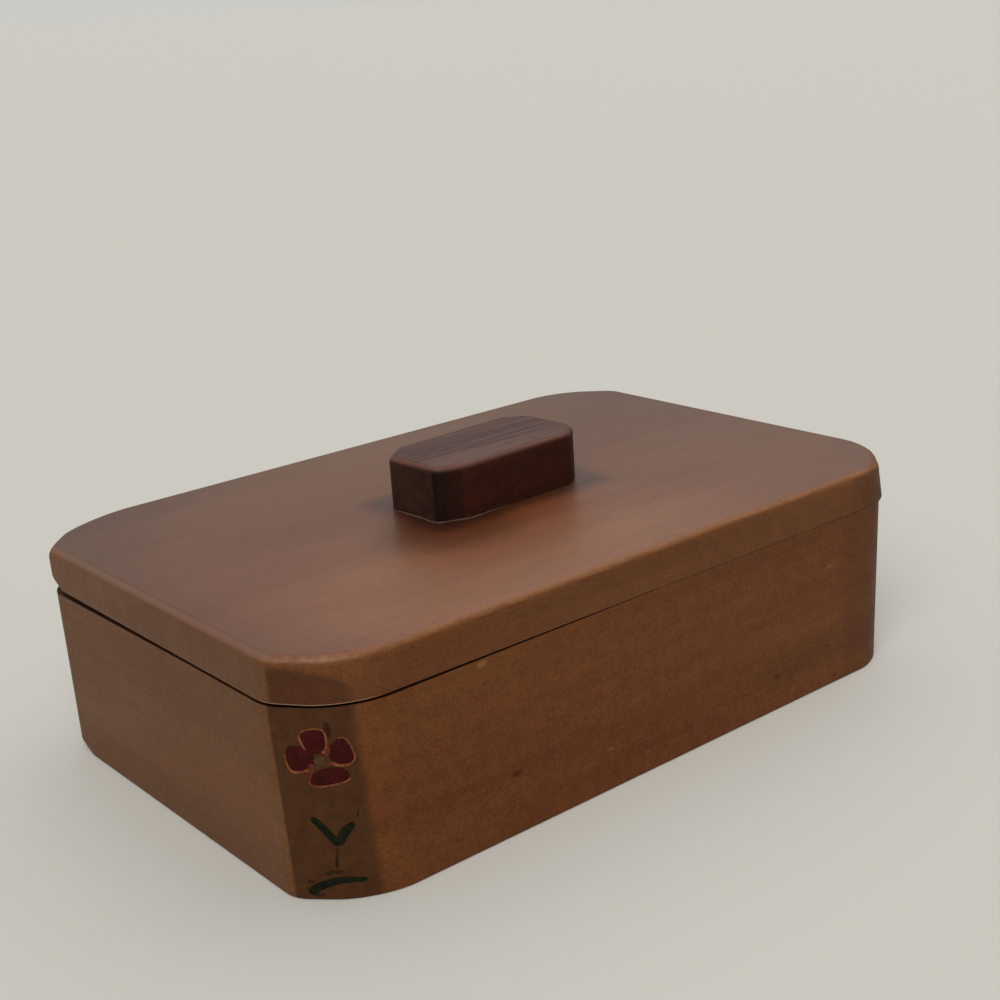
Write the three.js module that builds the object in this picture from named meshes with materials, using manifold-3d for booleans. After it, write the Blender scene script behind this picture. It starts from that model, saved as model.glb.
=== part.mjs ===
// A low wooden keepsake box with cut-off corners and a lid that lifts straight off.
// Four boards are mitred round a thin bottom panel, and a loose tongue crosses each mitre.
// The lid board has two battens under it, which drop inside the walls, and a dark block for a handle.
// Millimetres. X runs along the box, Y across it, Z up, with the origin under the middle of the box.

import * as THREE from "three";
import { mergeVertices } from "three/addons/utils/BufferGeometryUtils.js";
import Module from "manifold-3d";

const wasm = await Module();
wasm.setup();

// Lid board
const lidLength = 160;
const lidWidth = 107;
const lidThickness = 8.6;
const lidTopRound = 1.9;
const lidFootRound = 0.4;

// Body: the lid stands past it all round, and the two ends lean in towards the table
const lidOverhang = 0.5;
const lidSeatGap = 0.25;
const bodyHeight = 37.2;
const wallThickness = 9;
const endLean = 0.8;
const footRound = 0.6;

// Corner facets, cut by hand: each leg is measured from the square corner, along X and along Y
const rimFacet = { legX: 9.4, legY: 12.3 };
const footFacet = { legX: 11.4, legY: 9.9 };
const lidFootFacet = { legX: 8.8, legY: 12.3 };
const lidTopFacet = { legX: 11, legY: 11.6 };

// Softening of the two upright edges of a facet: how far it reaches along each face
const endEdgeReach = 2.4;
const sideEdgeReach = 8;
const endEdgeSteps = 4;
const sideEdgeSteps = 8;

// The rim is planed a little low at one corner, which opens the joint under the lid there
const rimDrop = 0.9;
const rimDropAlongEnd = 62;
const rimDropAlongSide = 42;

// Joinery
const glueGap = 0.1;
const tongueThickness = 1.6;
const tongueWidth = 5;
const tongueWeb = 0.45;
const tongueFootRecess = 0.5;
const tongueStopBelowRim = 7;
const tongueSlack = 0.15;

// Bottom panel, let into a rebate and held by brads
const panelThickness = 4;
const panelRecess = 0.4;
const rebateWidth = 4.5;
const panelCornerPastInside = 0.7;
const bradLength = 12;
const bradRadius = 0.6;
const bradHeadRadius = 1.1;
const bradHeadThickness = 0.5;
const bradTipLength = 1.4;
const bradSlack = 0.08;
const bradsPerSide = 3;
const bradsPerEnd = 2;
const bradSpanShare = 0.78;

// Battens under the lid
const battenWidth = 12;
const battenThickness = 6;
const battenPlay = 0.5;
const battenChamfer = 2;
const battenScrewShare = 0.6;

// Handle block, glued a little out of square and screwed from below
const handleLength = 40.6;
const handleWidth = 22.2;
const handleHeight = 11.5;
const handleFacet = { legX: 5.3, legY: 4.1 };
const handleEdgeReach = 1.2;
const handleTopRound = 1.3;
const handleX = 1.3;
const handleY = -1;
const handleTurn = THREE.MathUtils.degToRad(2.8);
const handleScrewSpacing = 22;

// Countersunk wood screws, one length for the battens and one for the handle
const screwRadius = 1.5;
const screwHeadRadius = 2.9;
const screwHeadDepth = 1.7;
const screwHeadRim = 0.3;
const screwTipLength = 2;
const screwSlotWidth = 0.8;
const screwSlotDepth = 0.7;
const screwSlack = 0.12;
const battenScrewLength = 12;
const handleScrewLength = 16;

const overrun = 5;
const roundSteps = 4;
const turnedSides = 20;

// Sizes that follow
const rimHalfX = lidLength / 2 - lidOverhang;
const rimHalfY = lidWidth / 2 - lidOverhang;
const innerHalfX = rimHalfX - wallThickness;
const innerHalfY = rimHalfY - wallThickness;
const panelTop = panelRecess + panelThickness;
const lidZ = bodyHeight + lidSeatGap;

const lidWood = { color: 0x7d5a44, roughness: 0.42, metalness: 0 };
const bodyWood = { color: 0x8a5a36, roughness: 0.45, metalness: 0 };
const plainWood = { color: 0xb08a5e, roughness: 0.7, metalness: 0 };
const darkWood = { color: 0x4a2b20, roughness: 0.5, metalness: 0 };
const steel = { color: 0x9a9a98, roughness: 0.35, metalness: 1 };

// A closed geometry as a solid that can be cut and joined
function solidOf(geometry) {
  const bare = geometry.clone();
  bare.deleteAttribute("normal");
  bare.deleteAttribute("uv");
  const merged = mergeVertices(bare);
  return new wasm.Manifold(
    new wasm.Mesh({
      numProp: 3,
      vertProperties: merged.attributes.position.array,
      triVerts: new Uint32Array(merged.index.array),
    }),
  );
}

// A solid as a named mesh with flat-shaded faces
function meshOf(name, solid, finish) {
  const { vertProperties, triVerts } = solid.getMesh();
  const indexed = new THREE.BufferGeometry();
  indexed.setAttribute("position", new THREE.BufferAttribute(vertProperties, 3));
  indexed.setIndex(new THREE.BufferAttribute(triVerts, 1));
  const geometry = indexed.toNonIndexed();
  geometry.computeVertexNormals();
  const mesh = new THREE.Mesh(geometry, new THREE.MeshStandardMaterial(finish));
  mesh.name = name;
  return mesh;
}

// A block with its lowest and highest corners given
function block(low, high) {
  const size = high.clone().sub(low);
  const middle = low.clone().add(high).multiplyScalar(0.5);
  const geometry = new THREE.BoxGeometry(size.x, size.y, size.z);
  return geometry.translate(middle.x, middle.y, middle.z);
}

// The plan of a rectangle with its corners cut off, and the two edges of each cut softened
function facetedPlan({ halfX, halfY, legX, legY, endReach, sideReach }) {
  const corners = [];
  for (const [signX, signY] of [[1, 1], [-1, 1], [-1, -1], [1, -1]]) {
    const onEnd = {
      point: new THREE.Vector2(signX * halfX, signY * (halfY - legY)),
      reach: endReach,
      steps: endEdgeSteps,
    };
    const onSide = {
      point: new THREE.Vector2(signX * (halfX - legX), signY * halfY),
      reach: sideReach,
      steps: sideEdgeSteps,
    };
    corners.push(...(signX * signY > 0 ? [onEnd, onSide] : [onSide, onEnd]));
  }
  const plan = [];
  corners.forEach(({ point, reach, steps }, i) => {
    const before = corners.at(i - 1).point;
    const after = corners[(i + 1) % corners.length].point;
    const start = before.clone().sub(point).setLength(reach).add(point);
    const end = after.clone().sub(point).setLength(reach).add(point);
    plan.push(...new THREE.QuadraticBezierCurve(start, point, end).getPoints(steps));
  });
  return plan;
}

// The same plan drawn in by a distance on every side
function drawnIn(plan, distance) {
  const { legX, legY } = plan;
  const share = 1 + distance * (Math.hypot(1 / legX, 1 / legY) - 1 / legX - 1 / legY);
  return {
    ...plan,
    halfX: plan.halfX - distance,
    halfY: plan.halfY - distance,
    legX: legX * share,
    legY: legY * share,
  };
}

// A closed skin over plans stacked from the lowest to the highest
function loft(sections) {
  const rings = sections.map(({ plan, z }) => facetedPlan(plan).map((p) => [p.x, p.y, z]));
  const count = rings[0].length;
  const positions = rings.flat(2);
  const index = [];
  for (let level = 0; level + 1 < rings.length; level++) {
    for (let i = 0; i < count; i++) {
      const a = level * count + i;
      const b = level * count + ((i + 1) % count);
      index.push(a, b, b + count, a, b + count, a + count);
    }
  }
  const top = (rings.length - 1) * count;
  for (let i = 1; i + 1 < count; i++) {
    index.push(0, i + 1, i, top, top + i, top + i + 1);
  }
  const geometry = new THREE.BufferGeometry();
  geometry.setAttribute("position", new THREE.Float32BufferAttribute(positions, 3));
  geometry.setIndex(index);
  return geometry;
}

// The plans of a quarter-round edge that ends at height z with the plan drawn in by its radius
function roundedTop(plan, z, radius) {
  const sections = [];
  for (let i = 0; i <= roundSteps; i++) {
    const angle = (Math.PI / 2) * (i / roundSteps);
    sections.push({
      plan: drawnIn(plan, radius * (1 - Math.cos(angle))),
      z: z - radius * (1 - Math.sin(angle)),
    });
  }
  return sections;
}

// A turned piece that stands on Z, from its profile of radius and height
function turned(profile) {
  const points = profile.map(([radius, height]) => new THREE.Vector2(radius, height));
  return new THREE.LatheGeometry(points, turnedSides).rotateX(Math.PI / 2);
}

// The outer form of the body, before it is divided into boards
function bodyForm() {
  const reaches = { endReach: endEdgeReach, sideReach: sideEdgeReach };
  const foot = { halfX: rimHalfX - endLean, halfY: rimHalfY, ...footFacet, ...reaches };
  const rim = { halfX: rimHalfX, halfY: rimHalfY, ...rimFacet, ...reaches };
  return solidOf(
    loft([
      { plan: drawnIn(foot, footRound), z: 0 },
      { plan: foot, z: footRound },
      { plan: rim, z: bodyHeight },
    ]),
  );
}

// The wedge that is planed off the rim at the back left corner
function rimWedge() {
  const corner = new THREE.Vector3(-rimHalfX, rimHalfY, bodyHeight - rimDrop);
  const onEnd = new THREE.Vector3(-rimHalfX, rimHalfY - rimDropAlongEnd, bodyHeight);
  const onSide = new THREE.Vector3(-rimHalfX + rimDropAlongSide, rimHalfY, bodyHeight);
  const alongEnd = corner.clone().sub(onEnd).normalize();
  const normal = onSide.clone().sub(onEnd).cross(alongEnd).normalize();
  const across = alongEnd.clone().cross(normal);
  const reach = lidLength;
  const geometry = new THREE.BoxGeometry(reach, reach, bodyHeight);
  geometry.translate(0, 0, bodyHeight / 2);
  const turn = new THREE.Matrix4().makeBasis(across, alongEnd, normal);
  geometry.applyMatrix4(turn.setPosition(onEnd));
  return solidOf(geometry);
}

// Plan of one board, mitred at both ends: it reaches out past the outer form, which trims it
function mitredBoard(halfInner, innerFace) {
  const shift = glueGap / Math.SQRT2;
  const depth = wallThickness + overrun;
  const shape = new THREE.Shape();
  shape.moveTo(-halfInner + shift, -innerFace);
  shape.lineTo(-halfInner + shift - depth, -innerFace - depth);
  shape.lineTo(halfInner - shift + depth, -innerFace - depth);
  shape.lineTo(halfInner - shift, -innerFace);
  const geometry = new THREE.ExtrudeGeometry(shape, {
    depth: bodyHeight + 2 * overrun,
    bevelEnabled: false,
  });
  return geometry.translate(0, 0, -overrun);
}

// The four corner tongues: a place and a turn for each, just outside the clipped corner of the panel
const tongueFromInside = panelCornerPastInside + tongueWeb + tongueThickness / 2;
const tonguePlaces = [
  ["front_left", -1, -1],
  ["front_right", 1, -1],
  ["back_right", 1, 1],
  ["back_left", -1, 1],
].map(([corner, signX, signY]) => ({
  name: "corner_tongue_" + corner,
  x: signX * (innerHalfX + tongueFromInside / Math.SQRT2),
  y: signY * (innerHalfY + tongueFromInside / Math.SQRT2),
  turn: signX * signY > 0 ? -Math.PI / 4 : Math.PI / 4,
}));

// One tongue, or with slack the groove that takes it, which is sawn in from below
function tongueForm({ x, y, turn }, slack, footZ) {
  const top = bodyHeight - tongueStopBelowRim + slack;
  const low = new THREE.Vector3(-tongueWidth / 2 - slack, -tongueThickness / 2 - slack, footZ);
  const high = new THREE.Vector3(tongueWidth / 2 + slack, tongueThickness / 2 + slack, top);
  return solidOf(block(low, high).rotateZ(turn).translate(x, y, 0));
}

// Where the brads go through the bottom panel: along the sides, then along the ends
function bradPlaces() {
  const places = [];
  const spread = (count, half) => {
    const reach = half * bradSpanShare;
    return Array.from({ length: count }, (_, i) => THREE.MathUtils.lerp(-reach, reach, i / (count - 1)));
  };
  const lineX = innerHalfX + rebateWidth / 2;
  const lineY = innerHalfY + rebateWidth / 2;
  for (const [side, sign] of [["front", -1], ["back", 1]]) {
    spread(bradsPerSide, innerHalfX).forEach((x, i) =>
      places.push({ name: `bottom_brad_${side}_${i + 1}`, x, y: sign * lineY }),
    );
  }
  for (const [end, sign] of [["left", -1], ["right", 1]]) {
    spread(bradsPerEnd, innerHalfY).forEach((y, i) =>
      places.push({ name: `bottom_brad_${end}_${i + 1}`, x: sign * lineX, y }),
    );
  }
  return places;
}

// A brad with its head down, or with slack the hole that it is driven into
function bradForm({ x, y }, slack) {
  const head = bradHeadRadius + slack;
  const shank = bradRadius + slack;
  const neck = bradHeadThickness + slack;
  const profile = [
    [0, slack ? -overrun : 0],
    [head, slack ? -overrun : 0],
    [head, neck],
    [shank, neck],
    [shank, bradLength - bradTipLength + slack],
    [0, bradLength + slack],
  ];
  return solidOf(turned(profile).translate(x, y, panelRecess));
}

// A sheet in the bottom rebate, its corners clipped where the outside facets come close
function sheetForm(slack, low, high) {
  const halfX = innerHalfX + rebateWidth - slack;
  const halfY = innerHalfY + rebateWidth - slack;
  const clip = 2 * rebateWidth - (panelCornerPastInside + slack) * Math.SQRT2;
  const outline = [];
  for (const [signX, signY] of [[1, 1], [-1, 1], [-1, -1], [1, -1]]) {
    const onEnd = new THREE.Vector2(signX * halfX, signY * (halfY - clip));
    const onSide = new THREE.Vector2(signX * (halfX - clip), signY * halfY);
    outline.push(...(signX * signY > 0 ? [onEnd, onSide] : [onSide, onEnd]));
  }
  const shape = new THREE.Shape(outline);
  const geometry = new THREE.ExtrudeGeometry(shape, { depth: high - low, bevelEnabled: false });
  return solidOf(geometry.translate(0, 0, low));
}

function wallBoards() {
  const form = bodyForm();
  const cutters = [
    sheetForm(0, -overrun, panelTop + glueGap),
    rimWedge(),
    ...tonguePlaces.map((place) => tongueForm(place, tongueSlack, -overrun)),
    ...bradPlaces().map((place) => bradForm(place, bradSlack)),
  ];
  const boards = [
    ["front_wall", innerHalfX, innerHalfY, 0],
    ["right_wall", innerHalfY, innerHalfX, Math.PI / 2],
    ["back_wall", innerHalfX, innerHalfY, Math.PI],
    ["left_wall", innerHalfY, innerHalfX, -Math.PI / 2],
  ];
  return boards.map(([name, halfInner, innerFace, turn]) => {
    let board = solidOf(mitredBoard(halfInner, innerFace).rotateZ(turn)).intersect(form);
    for (const cutter of cutters) board = board.subtract(cutter);
    return meshOf(name, board, bodyWood);
  });
}

function cornerTongues() {
  return tonguePlaces.map((place) =>
    meshOf(place.name, tongueForm(place, 0, tongueFootRecess), plainWood),
  );
}

function bottomPanel() {
  let panel = sheetForm(glueGap, panelRecess, panelTop);
  for (const place of bradPlaces()) panel = panel.subtract(bradForm(place, bradSlack));
  return meshOf("bottom_panel", panel, plainWood);
}

function bottomBrads() {
  return bradPlaces().map((place) => meshOf(place.name, bradForm(place, 0), steel));
}

// A screw that points up from z, with its slotted head level with z
function screwForm(length, x, y, z) {
  const profile = [
    [0, 0],
    [screwHeadRadius, 0],
    [screwHeadRadius, screwHeadRim],
    [screwRadius, screwHeadDepth],
    [screwRadius, length - screwTipLength],
    [0, length],
  ];
  const slotHalf = screwSlotWidth / 2;
  const slotReach = screwHeadRadius + overrun;
  const slot = block(
    new THREE.Vector3(-slotReach, -slotHalf, -overrun),
    new THREE.Vector3(slotReach, slotHalf, screwSlotDepth),
  );
  return solidOf(turned(profile).translate(x, y, z)).subtract(solidOf(slot.translate(x, y, z)));
}

// The countersunk hole for such a screw
function screwHole(length, x, y, z) {
  const profile = [
    [0, -overrun],
    [screwHeadRadius + screwSlack, -overrun],
    [screwHeadRadius + screwSlack, screwHeadRim + screwSlack],
    [screwRadius + screwSlack, screwHeadDepth + screwSlack],
    [screwRadius + screwSlack, length - screwTipLength + screwSlack],
    [0, length + 2 * screwSlack],
  ];
  return solidOf(turned(profile).translate(x, y, z));
}

// Battens lie across the lid, just inside the ends. Heights are from the lid board's underside.
const battenHalfY = innerHalfY - battenPlay;
const battenMiddleX = innerHalfX - battenPlay - battenWidth / 2;
const battenScrewPlaces = [-1, 1].flatMap((end) =>
  [-1, 1].map((side) => ({
    name: `batten_screw_${end < 0 ? "left" : "right"}_${side < 0 ? "front" : "back"}`,
    x: end * battenMiddleX,
    y: side * battenHalfY * battenScrewShare,
  })),
);
const battenUnderside = -glueGap - battenThickness;

// The handle's screws lie on its own length line, so their places turn with it
const handleScrewPlaces = [-1, 1].map((end) => {
  const place = new THREE.Vector2((end * handleScrewSpacing) / 2, 0);
  place.rotateAround(new THREE.Vector2(), handleTurn).add(new THREE.Vector2(handleX, handleY));
  return { name: `handle_screw_${end < 0 ? "left" : "right"}`, x: place.x, y: place.y };
});

function lidBoard() {
  const reaches = { endReach: endEdgeReach, sideReach: sideEdgeReach };
  const half = { halfX: lidLength / 2, halfY: lidWidth / 2, ...reaches };
  const foot = { ...half, ...lidFootFacet };
  const top = { ...half, ...lidTopFacet };
  let board = solidOf(
    loft([
      { plan: drawnIn(foot, lidFootRound), z: 0 },
      { plan: foot, z: lidFootRound },
      ...roundedTop(top, lidThickness, lidTopRound),
    ]),
  );
  for (const { x, y } of battenScrewPlaces) {
    board = board.subtract(screwHole(battenScrewLength, x, y, battenUnderside));
  }
  for (const { x, y } of handleScrewPlaces) {
    board = board.subtract(screwHole(handleScrewLength, x, y, 0));
  }
  return meshOf("lid_board", board, lidWood);
}

// A batten's two lower long edges are chamfered, so that it finds its way into the body
function batten(name, end) {
  const shape = new THREE.Shape();
  const halfWidth = battenWidth / 2;
  shape.moveTo(-halfWidth, -glueGap);
  shape.lineTo(-halfWidth, battenUnderside + battenChamfer);
  shape.lineTo(-halfWidth + battenChamfer, battenUnderside);
  shape.lineTo(halfWidth - battenChamfer, battenUnderside);
  shape.lineTo(halfWidth, battenUnderside + battenChamfer);
  shape.lineTo(halfWidth, -glueGap);
  const length = 2 * battenHalfY;
  const geometry = new THREE.ExtrudeGeometry(shape, { depth: length, bevelEnabled: false });
  geometry.rotateX(Math.PI / 2).translate(end * battenMiddleX, length / 2, 0);
  let strip = solidOf(geometry);
  for (const { x, y } of battenScrewPlaces) {
    strip = strip.subtract(screwHole(battenScrewLength, x, y, battenUnderside));
  }
  return meshOf(name, strip, plainWood);
}

function battenScrews() {
  return battenScrewPlaces.map(({ name, x, y }) =>
    meshOf(name, screwForm(battenScrewLength, x, y, battenUnderside), steel),
  );
}

function handleScrews() {
  return handleScrewPlaces.map(({ name, x, y }) =>
    meshOf(name, screwForm(handleScrewLength, x, y, 0), steel),
  );
}

// The handle in its own frame: its underside is at zero, and its group turns and places it
function handleBlock() {
  const plan = {
    halfX: handleLength / 2,
    halfY: handleWidth / 2,
    ...handleFacet,
    endReach: handleEdgeReach,
    sideReach: handleEdgeReach,
  };
  let form = solidOf(loft([{ plan, z: 0 }, ...roundedTop(plan, handleHeight, handleTopRound)]));
  const depthBelow = lidThickness + glueGap;
  for (const end of [-1, 1]) {
    const hole = screwHole(handleScrewLength, (end * handleScrewSpacing) / 2, 0, -depthBelow);
    form = form.subtract(hole);
  }
  return meshOf("handle", form, darkWood);
}

const box = new THREE.Group();

const body = new THREE.Group();
body.add(...wallBoards(), ...cornerTongues(), bottomPanel(), ...bottomBrads());
box.add(body);

const lid = new THREE.Group();
lid.position.z = lidZ;
lid.add(lidBoard(), batten("left_batten", -1), batten("right_batten", 1));
lid.add(...battenScrews(), ...handleScrews());

const handle = new THREE.Group();
handle.position.set(handleX, handleY, lidThickness + glueGap);
handle.rotation.z = handleTurn;
handle.add(handleBlock());
lid.add(handle);
box.add(lid);

export default box;
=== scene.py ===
# A low wooden keepsake box with cut-off corners, a lift-off lid, a dark block handle
# and a small flower painted on one corner. Everything is in metres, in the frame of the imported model.

import math

import bmesh
import bpy
from mathutils import Matrix, Vector


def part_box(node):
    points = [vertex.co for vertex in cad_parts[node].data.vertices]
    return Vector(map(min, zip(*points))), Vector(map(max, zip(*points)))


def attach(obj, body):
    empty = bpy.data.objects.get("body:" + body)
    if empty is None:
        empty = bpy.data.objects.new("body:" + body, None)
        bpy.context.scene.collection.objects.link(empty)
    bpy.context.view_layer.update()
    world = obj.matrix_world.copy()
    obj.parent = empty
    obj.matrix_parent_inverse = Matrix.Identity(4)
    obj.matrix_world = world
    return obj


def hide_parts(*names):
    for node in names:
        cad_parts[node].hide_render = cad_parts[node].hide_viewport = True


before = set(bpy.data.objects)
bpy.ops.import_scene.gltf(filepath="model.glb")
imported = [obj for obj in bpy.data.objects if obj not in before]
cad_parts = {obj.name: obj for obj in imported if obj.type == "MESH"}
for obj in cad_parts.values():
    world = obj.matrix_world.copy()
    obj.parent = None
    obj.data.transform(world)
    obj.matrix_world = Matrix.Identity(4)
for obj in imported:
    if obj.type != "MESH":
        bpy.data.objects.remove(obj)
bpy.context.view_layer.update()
MM = 0.001


# Camera: a close three-quarter view from a little above, tilted a few degrees.
# It looks at the box from the front left, with the near corner towards it.
CAMERA_AZIMUTH = math.radians(-38.4)
CAMERA_ELEVATION = math.radians(17.78)
CAMERA_ROLL = math.radians(-3.858)
CAMERA_DISTANCE = 340.1 * MM
CAMERA_AIM = Vector((5.09, -0.84, 43.1)) * MM
CAMERA_LENS = 56.64

bpy.ops.object.select_all(action="DESELECT")
bpy.ops.object.camera_add()
camera = bpy.context.object
camera.data.lens = CAMERA_LENS
camera.data.sensor_width = 36
camera.data.clip_start = MM
away = Vector((
    math.sin(CAMERA_AZIMUTH) * math.cos(CAMERA_ELEVATION),
    -math.cos(CAMERA_AZIMUTH) * math.cos(CAMERA_ELEVATION),
    math.sin(CAMERA_ELEVATION),
))
turn = away.to_track_quat("Z", "Y").to_matrix() @ Matrix.Rotation(CAMERA_ROLL, 3, "Z")
camera.matrix_world = Matrix.Translation(CAMERA_AIM + away * CAMERA_DISTANCE) @ turn.to_4x4()
bpy.context.scene.camera = camera


# Studio: a plain pale floor that runs to the horizon, an even pale surround and two wide soft lamps,
# the stronger one from the front left and above, so the left end, the front and the lid are all lit.
class Value:
    """A number or a colour in a material's node tree. Python's operators add Math nodes to that tree."""

    def __init__(self, tree, socket=None):
        self.tree = tree
        self.socket = socket

    def node(self, kind, settings=None, inputs=None, output=0):
        """Adds a node, with its settings first and then the values or links of its sockets."""
        made = self.tree.nodes.new("ShaderNode" + kind)
        for name, setting in (settings or {}).items():
            if name == "stops":
                ramp = made.color_ramp.elements
                while len(ramp) < len(setting):
                    ramp.new(0.5)
                for element, (position, colour) in zip(ramp, setting):
                    element.position = position
                    element.color = colour
            else:
                setattr(made, name, setting)
        for key, given in (inputs or {}).items():
            if isinstance(given, Value):
                self.tree.links.new(given.socket, made.inputs[key])
            else:
                made.inputs[key].default_value = given
        return Value(self.tree, made.outputs[output])

    def math(self, operation, *others):
        return self.node("Math", {"operation": operation}, dict(enumerate((self, *others))))

    def __add__(self, other):
        return self.math("ADD", other)

    def __mul__(self, other):
        return self.math("MULTIPLY", other)

    def __sub__(self, other):
        return self.math("SUBTRACT", other)

    def __truediv__(self, other):
        return self.math("DIVIDE", other)

    def __rsub__(self, other):
        return self.node("Math", {"operation": "SUBTRACT"}, {0: other, 1: self})

    def __pow__(self, other):
        return self.math("POWER", other)

    __radd__ = __add__
    __rmul__ = __mul__

    def between(self, low, high):
        """0 at low and below, 1 at high and above, with a soft step in between. low may be above high."""
        inputs = {"Value": self, "From Min": low, "From Max": high}
        return self.node("MapRange", {"interpolation_type": "SMOOTHSTEP"}, inputs)

    def mixed(self, first, second, blend="MIX"):
        """The first colour where this value is 0, the second where it is 1."""
        settings = {"data_type": "RGBA", "blend_type": blend}
        return self.node("Mix", settings, {0: self, 6: first, 7: second}, output=2)


def rgb(red, green, blue):
    return (red, green, blue, 1.0)


FLOOR_COLOUR = rgb(0.56, 0.55, 0.515)
SURROUND_COLOUR = rgb(0.605, 0.594, 0.557)
AMBIENT_STRENGTH = 0.62
LAMPS = {
    "lamp_front_left": {
        "towards": (-0.52, -0.50, 0.69), "strength": 2.3, "spread": 45, "colour": (1.0, 0.975, 0.94),
    },
    "lamp_above_right": {
        "towards": (0.42, 0.22, 0.88), "strength": 0.7, "spread": 70, "colour": (1.0, 0.99, 0.98),
    },
}

bpy.ops.mesh.primitive_plane_add(size=200)
floor = bpy.context.object
floor.name = "floor"
paper = bpy.data.materials.new("pale_floor")
paper.use_nodes = True
surface = paper.node_tree.nodes["Principled BSDF"]
surface.inputs["Base Color"].default_value = FLOOR_COLOUR
surface.inputs["Roughness"].default_value = 0.7
surface.inputs["Specular IOR Level"].default_value = 0.1
floor.data.materials.append(paper)

world = bpy.data.worlds.new("studio")
bpy.context.scene.world = world
world.use_nodes = True
background = world.node_tree.nodes["Background"]
rays = Value(world.node_tree).node("LightPath")
seen = Value(world.node_tree, rays.socket.node.outputs["Is Camera Ray"])
for other in ("Is Glossy Ray", "Is Transmission Ray"):
    seen = seen.math("MAXIMUM", Value(world.node_tree, rays.socket.node.outputs[other]))
strength = AMBIENT_STRENGTH + seen * (1 - AMBIENT_STRENGTH)
world.node_tree.links.new(strength.socket, background.inputs["Strength"])
background.inputs["Color"].default_value = SURROUND_COLOUR

for name, lamp in LAMPS.items():
    bpy.ops.object.light_add(type="SUN")
    light = bpy.context.object
    light.name = name
    light.data.energy = lamp["strength"]
    light.data.angle = math.radians(lamp["spread"])
    light.data.color = lamp["colour"]
    light.rotation_euler = Vector(lamp["towards"]).to_track_quat("Z", "Y").to_euler()

bpy.context.scene.view_settings.view_transform = "Standard"


# Four wall boards of fine-grained brown hardwood, mitred at the corners and lacquered to a satin.
# One block gets the outside form, with the corners cut off by hand and their edges softened; each
# board is a copy of it, cut along its mitres and its inner face, with the rebate for the bottom.
LID_OVERHANG = 0.25 * MM
WALL_THICKNESS = 9.25 * MM
END_LEAN = 0.8 * MM
FOOT_ROUND = 0.6 * MM
FOOT_WEAR = 3.0 * MM
RIM_ROUND = 0.16 * MM
TIGHT_GAP = 0.02 * MM
WIDE_GAP = 0.62 * MM
TIGHT_PAST_MIDDLE = 8 * MM
MITRE_LINE = 0.004 * MM
RIM_FACET = (9.4 * MM, 12.3 * MM)
FOOT_FACET = (10.6 * MM, 11.2 * MM)
LONGER_LEGS = {(-1, -1): (0, 0), (1, -1): (1.3 * MM, 0), (-1, 1): (0.6 * MM, -0.4 * MM), (1, 1): (0, 0)}
EDGE_REACHES = {
    (-1, -1): (2.4 * MM, 8 * MM),
    (1, -1): (7 * MM, 5 * MM),
    (-1, 1): (2.4 * MM, 12 * MM),
    (1, 1): (2.4 * MM, 8 * MM),
}
RIM_DROP = 1.2 * MM
RIM_DROP_ALONG_END = 100 * MM
RIM_DROP_ALONG_SIDE = 42 * MM
REBATE_WIDTH = 4.5 * MM
REBATE_PAST_FOOT = 5 * MM
PANEL_PLAY = 0.1 * MM
PANEL_CORNER_PAST_INSIDE = 0.7 * MM
RIM_PAST_MITRE = 0.1 * MM
SHARP_ARRIS = math.radians(25)
NEAR = 0.01 * MM


def pick(kind, test):
    """In edit mode, selects just the verts, edges or faces that pass the test."""
    mesh = bmesh.from_edit_mesh(bpy.context.edit_object.data)
    mode = {"verts": "VERT", "edges": "EDGE", "faces": "FACE"}[kind]
    bpy.ops.mesh.select_mode(type=mode)
    bpy.ops.mesh.select_all(action="DESELECT")
    mesh.normal_update()
    for item in getattr(mesh, kind):
        if test(item):
            item.select_set(True)
    bmesh.update_edit_mesh(bpy.context.edit_object.data)


def edit(piece=None):
    """Goes into edit mode on a piece alone, or back out of it."""
    if piece is None:
        bpy.ops.object.mode_set(mode="OBJECT")
        return
    bpy.ops.object.select_all(action="DESELECT")
    piece.select_set(True)
    bpy.context.view_layer.objects.active = piece
    bpy.ops.object.mode_set(mode="EDIT")


def add_block(name, low, high):
    """A block between two corners, as a new object at the origin."""
    bpy.ops.object.select_all(action="DESELECT")
    middle = [(a + b) / 2 for a, b in zip(low, high)]
    bpy.ops.mesh.primitive_cube_add(size=1, location=middle)
    piece = bpy.context.object
    piece.name = piece.data.name = name
    piece.scale = [b - a for a, b in zip(low, high)]
    bpy.ops.object.transform_apply()
    return piece


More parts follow.
